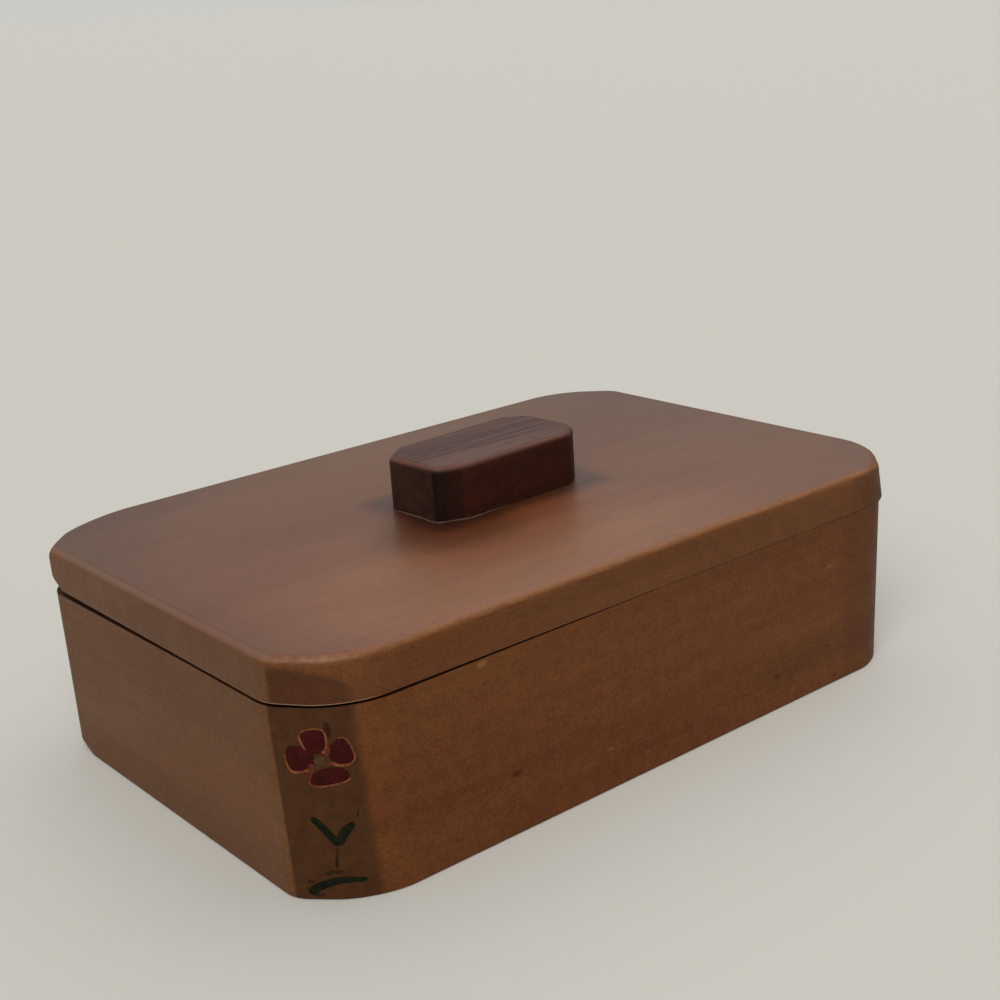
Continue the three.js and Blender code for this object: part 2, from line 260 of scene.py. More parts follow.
def faceted_block(name, half, heights, foot, top, longer, reaches, segments, strips=1):
    """A block with its four corners cut off. foot and top give the half length, the half width and the
    two legs of the cut at each height. For each corner, longer gives how much longer its two legs are, and
    reaches how far its two upright edges are softened, end edge first. The sides are sliced into level
    strips, because a facet that turns on its way up isn't flat."""
    low, high = heights
    piece = add_block(name, (-half[0], -half[1], low), (half[0], half[1], high))
    first_leg = min(half) / 4
    edit(piece)
    pick("edges", lambda e: abs(e.verts[0].co.z - e.verts[1].co.z) > NEAR)
    bpy.ops.mesh.bevel(offset=first_leg, segments=1, affect="EDGES")
    for z, (half_x, half_y, leg_x, leg_y) in ((low, foot), (high, top)):
        on_end = (half_x / half[0], (half_y - leg_y) / (half[1] - first_leg), 1)
        on_side = ((half_x - leg_x) / (half[0] - first_leg), half_y / half[1], 1)
        ends = lambda v: abs(v.co.z - z) < NEAR and abs(abs(v.co.x) - half[0]) < NEAR
        sides = lambda v: abs(v.co.z - z) < NEAR and abs(abs(v.co.y) - half[1]) < NEAR
        for test, share in ((ends, on_end), (sides, on_side)):
            pick("verts", test)
            bpy.ops.transform.resize(value=share, center_override=(0, 0, 0))
    widest_side = min(foot[1], top[1]) - NEAR
    for corner, reach in reaches.items():
        here = lambda v: v.co.x * corner[0] > 0 and v.co.y * corner[1] > 0
        pick("verts", lambda v: here(v) and abs(v.co.y) > widest_side)
        bpy.ops.transform.translate(value=(-corner[0] * longer[corner][0], 0, 0))
        pick("verts", lambda v: here(v) and abs(v.co.y) < widest_side)
        bpy.ops.transform.translate(value=(0, -corner[1] * longer[corner][1], 0))
        for at, on_side in ((1, True), (0, False)):
            pick("edges", lambda e: abs(e.verts[0].co.z - e.verts[1].co.z) > NEAR
                 and all(here(v) for v in e.verts) and e.calc_face_angle(0) > SHARP_ARRIS
                 and (min(abs(v.co.y) for v in e.verts) > widest_side) == on_side)
            bpy.ops.mesh.bevel(offset=reach[at], segments=segments[at], affect="EDGES", clamp_overlap=False)
    for strip in range(1, strips):
        bpy.ops.mesh.select_all(action="SELECT")
        level = low + (high - low) * strip / strips
        bpy.ops.mesh.bisect(plane_co=(0, 0, level), plane_no=(0, 0, 1))
    edit()
    return piece


def duplicate(piece, name):
    bpy.ops.object.select_all(action="DESELECT")
    piece.select_set(True)
    bpy.context.view_layer.objects.active = piece
    bpy.ops.object.duplicate()
    copy = bpy.context.object
    copy.name = copy.data.name = name
    return copy


def cut(piece, *planes):
    """Saws off what lies beyond each plane, a point and the direction of the waste, and closes the cut."""
    edit(piece)
    for point, waste in planes:
        bpy.ops.mesh.select_all(action="SELECT")
        bpy.ops.mesh.bisect(plane_co=point, plane_no=waste, use_fill=True, clear_outer=True)
    edit()


def carve(piece, cutter):
    """Cuts one piece's form out of another."""
    bpy.context.view_layer.objects.active = piece
    change = piece.modifiers.new("carve", "BOOLEAN")
    change.object = cutter
    change.operation = "DIFFERENCE"
    change.solver = "EXACT"
    bpy.ops.object.modifier_apply(modifier=change.name)


def polish(piece, angle=math.radians(32)):
    """Smooth shading over the curves, flat shading on the flats."""
    bpy.ops.object.select_all(action="DESELECT")
    piece.select_set(True)
    bpy.context.view_layer.objects.active = piece
    bpy.ops.object.shade_smooth_by_angle(angle=angle)
    weigh = piece.modifiers.new("weigh", "WEIGHTED_NORMAL")
    weigh.keep_sharp = True
    bpy.ops.object.modifier_apply(modifier=weigh.name)


def finish_piece(piece, material, slot, body, *nodes):
    piece.data.materials.clear()
    piece.data.materials.append(material)
    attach(piece, body)
    if nodes:
        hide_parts(*nodes)


def shaded(mask, base, shade):
    """The colour with a shade laid over it where the mask is 1."""
    return mask.mixed(base, (mask * 0 + 1).mixed(base, shade, "MULTIPLY"))


WOOD_BLUSH = rgb(0.96, 0.84, 0.80)


def wood(name, browns, along, seed, figure=0.8, lacquer=(0.12, 0.12), marks=None):
    """Fine-grained wood with its grain along X or Y. browns are the light and the dark of the wood and the
    colour of its pores. lacquer is how much of it lies on the upright and on the level faces, and it is
    thinner on the front right corner. marks takes the colour, the point, its normal and three of the
    grain's patterns, and gives the colour with the piece's own marks."""
    material = bpy.data.materials.new(name)
    material.use_nodes = True
    tree = material.node_tree
    start = Value(tree)
    place = start.node("TexCoord", output=3)
    facing = start.node("TexCoord", output=1)

    def split(vector):
        node = start.node("SeparateXYZ", None, {"Vector": vector}).socket.node
        return [Value(tree, node.outputs[axis]) for axis in "XYZ"]

    def noise(scale, detail=2.0, roughness=0.5):
        if along == "Y":
            scale = (scale[1], scale[0], scale[2])
        offset = (seed, seed * 2.3, seed * 4.1)
        stretched = start.node("Mapping", None, {"Vector": place, "Scale": scale, "Location": offset})
        inputs = {"Vector": stretched, "Scale": 1.0, "Detail": detail, "Roughness": roughness}
        return start.node("TexNoise", None, inputs)

    light, dark, pore = browns
    broad = noise((9, 45, 45), 3.0)
    band = noise((7, 150, 150), 3.0, 0.6)
    streak = noise((45, 900, 900), 3.0, 0.6)
    fibre = noise((260, 3600, 3600), 2.0, 0.6)
    dash = noise((700, 3000, 3000), 1.0, 0.4)
    pores = dash.between(0.64, 0.76) * fibre.between(0.35, 0.6)
    even = start.node("TexNoise", None, {"Vector": place, "Scale": 420.0, "Detail": 4.0, "Roughness": 0.65})
    figured = (broad - 0.5) * 0.9 + (band - 0.5) * 0.8 + (streak - 0.5) * 0.3
    tone = 0.5 + figured * figure + (fibre - 0.5) * 0.45
    grit = start.node("TexNoise", None, {"Vector": place, "Scale": 2600.0, "Detail": 2.0, "Roughness": 0.7})
    tone = tone + (even - 0.5) * 0.9 + (grit - 0.5) * 1.6
    base = tone.between(0.0, 1.0).mixed(light, dark)
    blush = noise((14, 38, 38), 1.0).between(0.42, 0.68)
    base = shaded(blush * 0.5, base, WOOD_BLUSH)
    base = (pores * 0.6).mixed(base, pore)
    point, normal = split(place), split(facing)
    if marks:
        base = marks(base, point, normal, broad, streak, even)
    surface = tree.nodes["Principled BSDF"]
    tree.links.new(base.socket, surface.inputs["Base Color"])
    rough = 0.55 + (streak - 0.5) * 0.15 + (broad - 0.5) * 0.15
    tree.links.new(rough.socket, surface.inputs["Roughness"])
    surface.inputs["Specular IOR Level"].default_value = 0.1
    film = lacquer[0] + normal[2].between(0.3, 0.9) * (lacquer[1] - lacquer[0])
    thin = normal[0].between(0.0, 0.3) * normal[1].between(0.0, -0.4)
    film = film * (1 - thin * 0.9) * (0.4 + (grit + even) * 0.6)
    tree.links.new(film.socket, surface.inputs["Coat Weight"])
    surface.inputs["Coat Roughness"].default_value = 0.32
    surface.inputs["Coat IOR"].default_value = 1.45
    relief = streak * 0.4 + fibre * 0.5 - pores * 0.7 + noise((90, 160, 160)) * 1.0
    bump = start.node("Bump", None, {"Strength": 0.25, "Distance": 0.0001, "Height": relief})
    tree.links.new(bump.socket, surface.inputs["Normal"])
    return material


rim_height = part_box("front_wall")[1].z
lid_low, lid_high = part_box("lid_board")
rim_half = (lid_high.x - LID_OVERHANG, lid_high.y - LID_OVERHANG)
inner_half = (rim_half[0] - WALL_THICKNESS, rim_half[1] - WALL_THICKNESS)

blank = faceted_block(
    "outside_form", rim_half, (0, lid_low.z - TIGHT_GAP),
    (rim_half[0] - END_LEAN, rim_half[1], *FOOT_FACET), (*rim_half, *RIM_FACET),
    LONGER_LEGS, EDGE_REACHES, (5, 12), strips=12,
)
edit(blank)
pick("edges", lambda e: max(v.co.z for v in e.verts) < NEAR)
bpy.ops.mesh.bevel(offset=FOOT_ROUND, segments=3, affect="EDGES", clamp_overlap=False)
pick("faces", lambda f: abs(f.normal.x * f.normal.y) > 0.001 and len(f.verts) > 3)
bpy.ops.mesh.quads_convert_to_tris()
edit()
far_left_foot = Vector((END_LEAN - rim_half[0], rim_half[1] - FOOT_FACET[1], FOOT_WEAR))
cut(blank, (far_left_foot, Vector((-0.66, 0.30, -0.69)).normalized()))

panel_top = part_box("bottom_panel")[1].z + PANEL_PLAY
rebate_half = (inner_half[0] + REBATE_WIDTH, inner_half[1] + REBATE_WIDTH)
rebate = add_block("rebate", (-rebate_half[0], -rebate_half[1], -REBATE_PAST_FOOT), (*rebate_half, panel_top))
edit(rebate)
pick("edges", lambda e: abs(e.verts[0].co.z - e.verts[1].co.z) > NEAR)
clip = 2 * REBATE_WIDTH - PANEL_CORNER_PAST_INSIDE * math.sqrt(2)
bpy.ops.mesh.bevel(offset=clip, segments=1, affect="EDGES")
edit()

WALL_BROWNS = (rgb(0.138, 0.0455, 0.0105), rgb(0.080, 0.0230, 0.0044), rgb(0.040, 0.012, 0.003))
# The end boards' browns are greyer than the front's and back's: a painted sheen of the pale surround.
END_BROWNS = (rgb(0.136, 0.0585, 0.0215), rgb(0.086, 0.0325, 0.0110), rgb(0.046, 0.018, 0.008))
FACET_BROWNS = (rgb(0.060, 0.0205, 0.0045), rgb(0.040, 0.0132, 0.0027))
TURNED_SHADE = rgb(0.82, 0.84, 0.80)
# Painted shade for the gap under the lid: on the rim's top, and on its rounded edge along the left.
RIM_SHADE = rgb(0.24, 0.20, 0.19)
FACET_EDGE = 1.2 * MM
FACET_WOBBLE = 2 * MM
FACET_PAST_EDGE = 1.5 * MM
FACET_FADES_TO = -40 * MM
RIM_SHADE_FADES_TO = -20 * MM
TURNED_X = (53 * MM, 58 * MM)
TURNED_Y = (-44 * MM, -50 * MM)
WALLS = {
    "front_wall": {"out": Vector((0, -1, 0)), "browns": WALL_BROWNS, "along": "X", "seed": 0.31},
    "back_wall": {"out": Vector((0, 1, 0)), "browns": WALL_BROWNS, "along": "X", "seed": 1.73},
    "left_wall": {"out": Vector((-1, 0, 0)), "browns": END_BROWNS, "along": "Y", "seed": 2.57},
    "right_wall": {"out": Vector((1, 0, 0)), "browns": END_BROWNS, "along": "Y", "seed": 3.91},
}


def oval(u, v, centre, radii, core=0.3):
    """1 within an oval spot and 0 outside it."""
    away = ((u - centre[0]) / radii[0]) ** 2.0 + ((v - centre[1]) / radii[1]) ** 2.0
    return away.between(1.0, core)


def corner_facets(edge_x, edge_y):
    """Marks that darken the cut-off corners, the front's right end and the rim under the lid. Each edge
    gives how far from the middle the facet starts at the foot and at the rim, in X and in Y."""
    def marks(base, point, normal, broad, streak, even):
        x, y, z = point
        rise = z / rim_height
        wobble = (broad - 0.5) * FACET_WOBBLE
        past_x = x.math("ABSOLUTE") - (edge_x[0] + rise * (edge_x[1] - edge_x[0])) + wobble
        past_y = y.math("ABSOLUTE") - (edge_y[0] + rise * (edge_y[1] - edge_y[0])) + wobble * 0.3
        cut_off = past_x.between(-FACET_EDGE, FACET_EDGE)
        cut_off = cut_off * past_y.between(-FACET_EDGE * 0.3, FACET_EDGE * 0.3)
        cut_off = cut_off * (0.35 + (x + y * 0.5).between(0, FACET_FADES_TO) * 0.65)
        base = cut_off.mixed(base, even.between(0.25, 0.75).mixed(*FACET_BROWNS))
        base = shaded(x.between(*TURNED_X) * y.between(*TURNED_Y), base, TURNED_SHADE)
        # Painted shade in the gap under the lid: the rim's top, and its rounded edge towards the left.
        over = normal[2].between(0.85, 0.95) + normal[2].between(0.25, 0.5) * x.between(0, RIM_SHADE_FADES_TO)
        return shaded(over.math("MINIMUM", 1.0), base, RIM_SHADE)
    return marks


KNOT_SHARES = (
    ((-0.46, 0.33), (0.025, 0.025), 0.8),
    ((0.43, 0.21), (0.020, 0.020), 0.8),
    ((0.63, 0.26), (0.012, 0.016), 0.7),
    ((0.66, 0.05), (0.012, 0.016), 0.6),
    ((0.65, 0.25), (0.43, 0.16), 0.30),
    ((0.23, 0.98), (0.53, 0.11), 0.22),
)
KNOT_SHADE = rgb(0.42, 0.30, 0.28)
CHIP_SHARES = (
    ((-0.54, 0.97), (0.018, 0.016), 0.55),
    ((-0.17, 0.23), (0.014, 0.014), 0.35),
    ((0.64, 0.74), (0.015, 0.010), 0.30),
)
CHIP_BROWN = rgb(0.22, 0.105, 0.040)
KNOT_WOBBLE = (1.2 * MM, 1.6 * MM)


def front_marks(facets):
    """The front board's marks: its facets, a few small dark knots, two darker bands and three light
    chips. Their places and radii are shares of the board's half length and of its height."""
    def marks(base, point, normal, broad, streak, even):
        base = facets(base, point, normal, broad, streak, even)
        x, y, z = point
        x = (x + (broad - 0.5) * KNOT_WOBBLE[0]) / rim_half[0]
        z = (z + (streak - 0.5) * KNOT_WOBBLE[1]) / rim_height
        for centre, radii, strength in KNOT_SHARES:
            base = shaded(oval(x, z, centre, radii, 0.0) * strength, base, KNOT_SHADE)
        for centre, radii, strength in CHIP_SHARES:
            base = (oval(x, z, centre, radii) * strength).mixed(base, CHIP_BROWN)
        return base
    return marks


tilt_point = Vector((TIGHT_PAST_MIDDLE, 0, lid_low.z - TIGHT_GAP))
tilt_normal = Vector((TIGHT_GAP - WIDE_GAP, 0, rim_half[0] + TIGHT_PAST_MIDDLE)).normalized()
drop_a = Vector((-rim_half[0], rim_half[1] - RIM_DROP_ALONG_END, rim_height))
drop_b = Vector((-rim_half[0] + RIM_DROP_ALONG_SIDE, rim_half[1], rim_height))
drop_c = Vector((-rim_half[0], rim_half[1], rim_height - RIM_DROP))
drop_normal = (drop_b - drop_a).cross(drop_c - drop_a).normalized()
drop_normal *= math.copysign(1, drop_normal.z)


def rim_edge(e):
    """An upper edge of a board, not on its mitres."""
    faces = [f.normal.z for f in e.link_faces]
    middle = (e.verts[0].co + e.verts[1].co) / 2
    off_mitre = abs((abs(middle.x) - inner_half[0]) - (abs(middle.y) - inner_half[1]))
    return len(faces) == 2 and max(faces) > 0.98 and min(faces) < 0.5 and off_mitre > RIM_PAST_MITRE


for name, wall in WALLS.items():
    out = wall["out"]
    board = duplicate(blank, name + "_board")
    inner = inner_half[0] if out.x else inner_half[1]
    planes = [(out * inner, -out)]
    along = Vector((-out.y, out.x, 0))
    reach = inner_half[1] if out.x else inner_half[0]
    for sign in (-1, 1):
        corner = out * inner + along * sign * (reach - MITRE_LINE / math.sqrt(2))
        planes.append((corner, (along * sign - out).normalized()))
    planes.append((tilt_point, tilt_normal))
    cut(board, *planes)
    if name in ("left_wall", "back_wall"):
        cut(board, (drop_a, drop_normal))
    carve(board, rebate)
    edit(board)
    bpy.ops.mesh.select_all(action="SELECT")
    bpy.ops.mesh.remove_doubles(threshold=NEAR / 10)
    pick("edges", rim_edge)
    bpy.ops.mesh.bevel(offset=RIM_ROUND, segments=3, affect="EDGES", clamp_overlap=True)
    edit()
    polish(board)
    flat_x = rim_half[0] - FACET_PAST_EDGE
    marks = corner_facets(
        (flat_x - END_LEAN - FOOT_FACET[0], flat_x - RIM_FACET[0]),
        (rim_half[1] - FOOT_FACET[1], rim_half[1] - RIM_FACET[1]),
    )
    if name == "front_wall":
        marks = front_marks(marks)
    grain = wood(name + "_wood", wall["browns"], wall["along"], wall["seed"], lacquer=(0.12, 0), marks=marks)
    finish_piece(board, grain, "body_wood", "box", name)
bpy.data.objects.remove(rebate)


# Corner tongues, bottom panel and brads: plain strips across the mitres, thin plywood let into the
# rebate, and steel brads driven up through it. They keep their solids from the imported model.
PLAIN_BROWNS = (rgb(0.46, 0.29, 0.16), rgb(0.30, 0.17, 0.085), rgb(0.16, 0.085, 0.04))
plain_wood = wood("plain_wood", PLAIN_BROWNS, "Y", 5.2, lacquer=(0.0, 0.0))
plywood = wood("plywood", PLAIN_BROWNS, "X", 6.4, lacquer=(0.0, 0.0))

steel = bpy.data.materials.new("bright_steel")
steel.use_nodes = True
start = Value(steel.node_tree)
place = start.node("TexCoord", output=3)
scratch = start.node("TexNoise", None, {"Vector": place, "Scale": 2600.0, "Detail": 3.0})
surface = steel.node_tree.nodes["Principled BSDF"]
surface.inputs["Metallic"].default_value = 1.0
tint = scratch.mixed(rgb(0.62, 0.61, 0.59), rgb(0.42, 0.41, 0.40))
steel.node_tree.links.new(tint.socket, surface.inputs["Base Color"])
steel.node_tree.links.new((0.25 + scratch * 0.25).socket, surface.inputs["Roughness"])

for name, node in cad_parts.items():
    if "brad" in name or "screw" in name:
        node.data.materials[0] = steel
    elif "tongue" in name:
        node.data.materials[0] = plain_wood
    elif name == "bottom_panel":
        node.data.materials[0] = plywood


# Battens: two plain strips across the underside of the lid, which keep it flat and stop it sliding.
# Their lower edges are chamfered, the rest just eased, and two countersunk screws hold each.
BATTEN_CHAMFER = 2 * MM
BATTEN_EASE = 0.3 * MM
SCREW_SLACK = 0.12 * MM


def sink(piece, screw_name):
    """Countersinks a piece from below for a screw."""
    screw_low, screw_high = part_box(screw_name)
    middle = (screw_low + screw_high) / 2
    radius = (screw_high.y - screw_low.y) / 2 + SCREW_SLACK
    bpy.ops.object.select_all(action="DESELECT")
    seat = (middle.x, middle.y, screw_low.z)
    bpy.ops.mesh.primitive_cylinder_add(vertices=40, radius=radius, depth=2 * radius, location=seat)
    cutter = bpy.context.object
    bpy.ops.object.transform_apply()
    edit(cutter)
    pick("faces", lambda f: f.normal.z > 0.9)
    bpy.ops.transform.resize(value=(0.5, 0.5, 1), center_override=seat)
    edit()
    carve(piece, cutter)
    bpy.data.objects.remove(cutter)


for end in ("left", "right"):
    name = end + "_batten"
    batten_low, batten_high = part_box(name)
    batten = add_block(name + "_strip", batten_low, batten_high)
    edit(batten)
    pick("edges", lambda e: max(v.co.z for v in e.verts) < batten_low.z + NEAR
         and abs(e.verts[0].co.y - e.verts[1].co.y) > NEAR)
    bpy.ops.mesh.bevel(offset=BATTEN_CHAMFER, segments=1, affect="EDGES")
    pick("edges", lambda e: min(v.co.z for v in e.verts) < batten_high.z - NEAR)
    bpy.ops.mesh.bevel(offset=BATTEN_EASE, segments=2, affect="EDGES")
    edit()
    for side in ("front", "back"):
        sink(batten, f"batten_screw_{end}_{side}")
    polish(batten)
    finish_piece(batten, plain_wood, "plain_wood", "lid", name)


# Lid board: one wide board of the same hardwood, grain along its length, its corners cut off to match
# the body and its upper edge rounded over. Two countersunk holes under it take the handle's screws.
LID_FOOT_FACET = (8.8 * MM, 12.3 * MM)
LID_TOP_FACET = (11 * MM, 11.6 * MM)
LID_TOP_ROUND = 1.9 * MM
LID_FOOT_ROUND = 0.25 * MM
LID_CORNER_WEAR = (3.8 * MM, 2.7 * MM)
lid_half = (lid_high.x, lid_high.y)
lid_board = faceted_block(
    "lid_board_piece", lid_half, (lid_low.z, lid_high.z),
    (*lid_half, *LID_FOOT_FACET), (*lid_half, *LID_TOP_FACET),
    LONGER_LEGS, EDGE_REACHES, (5, 12), strips=4,
)
edit(lid_board)
pick("edges", lambda e: min(v.co.z for v in e.verts) > lid_high.z - NEAR)
bpy.ops.mesh.bevel(offset=LID_TOP_ROUND, segments=6, affect="EDGES", clamp_overlap=False)
pick("edges", lambda e: max(v.co.z for v in e.verts) < lid_low.z + NEAR)
bpy.ops.mesh.bevel(offset=LID_FOOT_ROUND, segments=2, affect="EDGES", clamp_overlap=False)
edit()
far_left_top = Vector((-lid_half[0], lid_half[1] - LID_TOP_FACET[1], lid_high.z - LID_CORNER_WEAR[0]))
far_left_under = Vector((-lid_half[0], lid_half[1] - LID_FOOT_FACET[1], lid_low.z + LID_CORNER_WEAR[1]))
cut(
    lid_board,
    (far_left_top, Vector((-0.66, 0.63, 0.41)).normalized()),
    (far_left_under, Vector((-0.77, 0.31, -0.56)).normalized()),
)
for end in ("left", "right"):
    sink(lid_board, "handle_screw_" + end)
polish(lid_board)
# The lid's browns are lighter and greyer than the walls': a painted sheen on the top. The side shades take
# the sides back down to a darker, warmer brown.
LID_BROWNS = (rgb(0.230, 0.0920, 0.0430), rgb(0.150, 0.0550, 0.0240), rgb(0.070, 0.025, 0.012))
# Painted highlight on the rounded upper edge along the front.
LID_EDGE_BROWN = rgb(0.27, 0.115, 0.042)
LID_SIDE_SHADE = rgb(0.575, 0.515, 0.30)
LID_END_SHADE = rgb(0.585, 0.655, 0.57)
# Painted sheen on the rounded upper edges of the ends, lighter and greyer like the top.
LID_END_EDGE_BROWN = rgb(0.160, 0.088, 0.062)
LID_FACET_SHADE = rgb(0.55, 0.52, 0.48)
LID_TURNED_SHADE = rgb(0.74, 0.72, 0.74)
LID_TURNED_X = (57 * MM, 63 * MM)
# The top also darkens towards its ends and back: partly the board's own tone, partly a painted sheen.
LID_BORDER = ((5 * MM, -10 * MM), (90 * MM, 80 * MM))
LID_BORDER_SHADE = rgb(0.80, 0.80, 0.90)
# A painted reflection of the handle: a broad warmer, darker patch on the lid in front of it.
HANDLE_REFLECTION_SPOT = ((-14 * MM, -20 * MM), (34 * MM, 26 * MM))
HANDLE_REFLECTION_SHADE = rgb(0.90, 0.76, 0.55)
# Painted shadow and reflection of the handle on the lid, darkest at its foot and fading out a few millimetres
# away.
HANDLE_SHADOW_REACH = 6 * MM
HANDLE_SHADOW_SHADE = rgb(0.42, 0.38, 0.36)
# A darker painted shadow and reflection of the handle, in front of its near left corner.
HANDLE_SHADOW_SPOT = ((-19 * MM, -14 * MM), (20 * MM, 18 * MM))
HANDLE_SHADOW_SPOT_SHADE = rgb(0.54, 0.47, 0.44)
handle_middle = (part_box("handle")[0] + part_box("handle")[1]) / 2
handle_reach = (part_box("handle")[1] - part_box("handle")[0]) / 2
# The top darkens outwards from a bright patch at the front left: partly the board's own tone, partly a
# painted sheen.
LID_SHADES = (
    ((-26 * MM, -50 * MM), (72 * MM, 52 * MM), rgb(0.70, 0.635, 0.66)),
    ((-22 * MM, -46 * MM), (120 * MM, 112 * MM), rgb(0.755, 0.80, 0.72)),
)
# A painted highlight along the lid's lower rounded edge, strongest near the front left corner.
LID_FOOT_BROWN = rgb(0.30, 0.17, 0.11)
LID_FOOT_HIGHLIGHT_X = (-10 * MM, -50 * MM)
LID_WOBBLE = 2 * MM
LID_SHADE_WIDTH = 14 * MM
LID_SHADE_FALL = 6 * MM
LID_SHADE_SOFT = 0.8 * MM


def lid_marks(base, point, normal, broad, streak, even):
    """The lid's marks: a top that darkens outwards, partly a painted sheen, painted shadow and reflection of
    the handle, warmer sides, darker cut-off corners and painted highlights and sheen on its edges.
    """
    x, y, z = point
    top = normal[2].between(0.45, 0.97)
    # Darker outwards: partly the board's own tone, partly a painted sheen that is brightest at the front
    # left.
    for centre, radii, shade in LID_SHADES:
        base = shaded((1 - oval(x, y, centre, radii, 0.0)) * top, base, shade)
    base = shaded((1 - oval(x, y, *LID_BORDER, 0.6)) * top, base, LID_BORDER_SHADE)
    # Painted reflection and shadow of the handle on the lid in front of it.
    base = shaded(oval(x, y, *HANDLE_REFLECTION_SPOT, 0.0) * top, base, HANDLE_REFLECTION_SHADE)
    base = shaded(oval(x, y, *HANDLE_SHADOW_SPOT, 0.0) * top, base, HANDLE_SHADOW_SPOT_SHADE)
    # Painted shadow and reflection of the handle, darker the nearer to its foot.
    beside_x = ((x - handle_middle.x).math("ABSOLUTE") - handle_reach.x).math("MAXIMUM", 0.0)
    beside_y = ((y - handle_middle.y).math("ABSOLUTE") - handle_reach.y).math("MAXIMUM", 0.0)
    beside = (beside_x ** 2.0 + beside_y ** 2.0).math("SQRT") + (broad - 0.5) * LID_WOBBLE
    base = shaded(beside.between(HANDLE_SHADOW_REACH, 0.0) * top, base, HANDLE_SHADOW_SHADE)
    side = 1 - top
    on_end = normal[0].math("ABSOLUTE").between(0.85, 0.95)
    base = shaded(side, base, on_end.mixed(LID_SIDE_SHADE, LID_END_SHADE))
    base = shaded(x.between(*LID_TURNED_X) * y.between(*TURNED_Y) * side, base, LID_TURNED_SHADE)
    oblique = (normal[0] * normal[1]).math("ABSOLUTE")
    inwards = (lid_high.x - x.math("ABSOLUTE")) / LID_SHADE_WIDTH
    arc = lid_high.z - LID_TOP_ROUND - inwards ** 2.0 * LID_SHADE_FALL + (broad - 0.5) * LID_WOBBLE
    flat = (z - arc).between(LID_SHADE_SOFT, -LID_SHADE_SOFT)
    base = shaded(oblique.between(0.34, 0.42) * side * flat, base, LID_FACET_SHADE)
    # A painted highlight along the rounded upper edge of the front, broken up by the grain.
    edge_highlight = normal[2].between(0.30, 0.62) * normal[2].between(0.97, 0.80)
    edge_highlight = edge_highlight * (0.35 + (streak - 0.5) * 1.4 + (even - 0.5) * 1.2) * normal[1].between(-0.1, -0.4)
    base = (edge_highlight.math("MAXIMUM", 0.0)).mixed(base, LID_EDGE_BROWN)
    # A painted sheen on the rounded upper edges of the ends.
    end_edge = (normal[0].math("ABSOLUTE") - normal[1].math("ABSOLUTE")).between(0.1, 0.3)
    end_edge = end_edge * normal[2].between(0.35, 0.70) * normal[2].between(1.0, 0.9)
    base = (end_edge * 0.6).mixed(base, LID_END_EDGE_BROWN)
    # A painted highlight along the lower rounded edge, strongest near the front left corner.
    foot = z.between(lid_low.z + LID_FOOT_ROUND * 1.2, lid_low.z + LID_FOOT_ROUND * 0.6)
    foot = foot * normal[2].between(-0.95, -0.8)
    near_corner = oblique.between(0.05, 0.3) * x.between(*LID_FOOT_HIGHLIGHT_X)
    return (foot * (0.08 + near_corner * 0.8)).mixed(base, LID_FOOT_BROWN)


lid_wood = wood("lid_board_wood", LID_BROWNS, "X", 4.3, lacquer=(0.14, 0.46), marks=lid_marks)
finish_piece(lid_board, lid_wood, "lid_wood", "lid", "lid_board")


# Handle: a block of dark hardwood with its own cut-off corners and rounded top edges.
# It is glued to the lid a little out of square and screwed from below.
HANDLE_LENGTH = 40.6 * MM
HANDLE_WIDTH = 22.2 * MM
HANDLE_FACET = (5.3 * MM, 4.1 * MM)
HANDLE_LONGER_LEGS = {**dict.fromkeys(LONGER_LEGS, (0, 0)), (-1, -1): (1.0 * MM, -1.1 * MM)}
HANDLE_REACHES = dict.fromkeys(EDGE_REACHES, (1.9 * MM, 1.3 * MM))
HANDLE_TOP_ROUND = 1.5 * MM
HANDLE_TURN = math.radians(2.8)
handle_low, handle_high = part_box("handle")
handle_half = (HANDLE_LENGTH / 2, HANDLE_WIDTH / 2)
handle = faceted_block(
    "handle_block", handle_half, (handle_low.z, handle_high.z),
    (*handle_half, *HANDLE_FACET), (*handle_half, *HANDLE_FACET), HANDLE_LONGER_LEGS, HANDLE_REACHES, (4, 4),
)
edit(handle)
pick("edges", lambda e: min(v.co.z for v in e.verts) > handle_high.z - NEAR)
bpy.ops.mesh.bevel(offset=HANDLE_TOP_ROUND, segments=6, affect="EDGES", clamp_overlap=False)
edit()
handle.rotation_euler.z = HANDLE_TURN
handle.location = (handle_middle.x, handle_middle.y, 0)
bpy.ops.object.select_all(action="DESELECT")
handle.select_set(True)
bpy.context.view_layer.objects.active = handle
bpy.ops.object.transform_apply()
polish(handle)
HANDLE_BROWNS = (rgb(0.058, 0.0130, 0.0060), rgb(0.014, 0.0045, 0.0022), rgb(0.007, 0.0025, 0.002))
HANDLE_TOP_BROWNS = (rgb(0.100, 0.044, 0.035), rgb(0.045, 0.0170, 0.0135))
# The handle's ends are greyer: end grain, with a painted sheen.
HANDLE_END_BROWN = rgb(0.033, 0.0150, 0.0100)
HANDLE_FACET_SHADE = rgb(0.28, 0.40, 0.30)
# Painted shade on the handle's right front facet.
HANDLE_FAR_SHADE = rgb(0.75, 0.35, 0.25)
HANDLE_BLOTCH = rgb(0.62, 0.60, 0.62)
# Painted highlight on the handle's rounded upper edges.
HANDLE_EDGE_BROWN = rgb(0.135, 0.058, 0.038)
NEAR_HALF_SOFT = 2 * MM


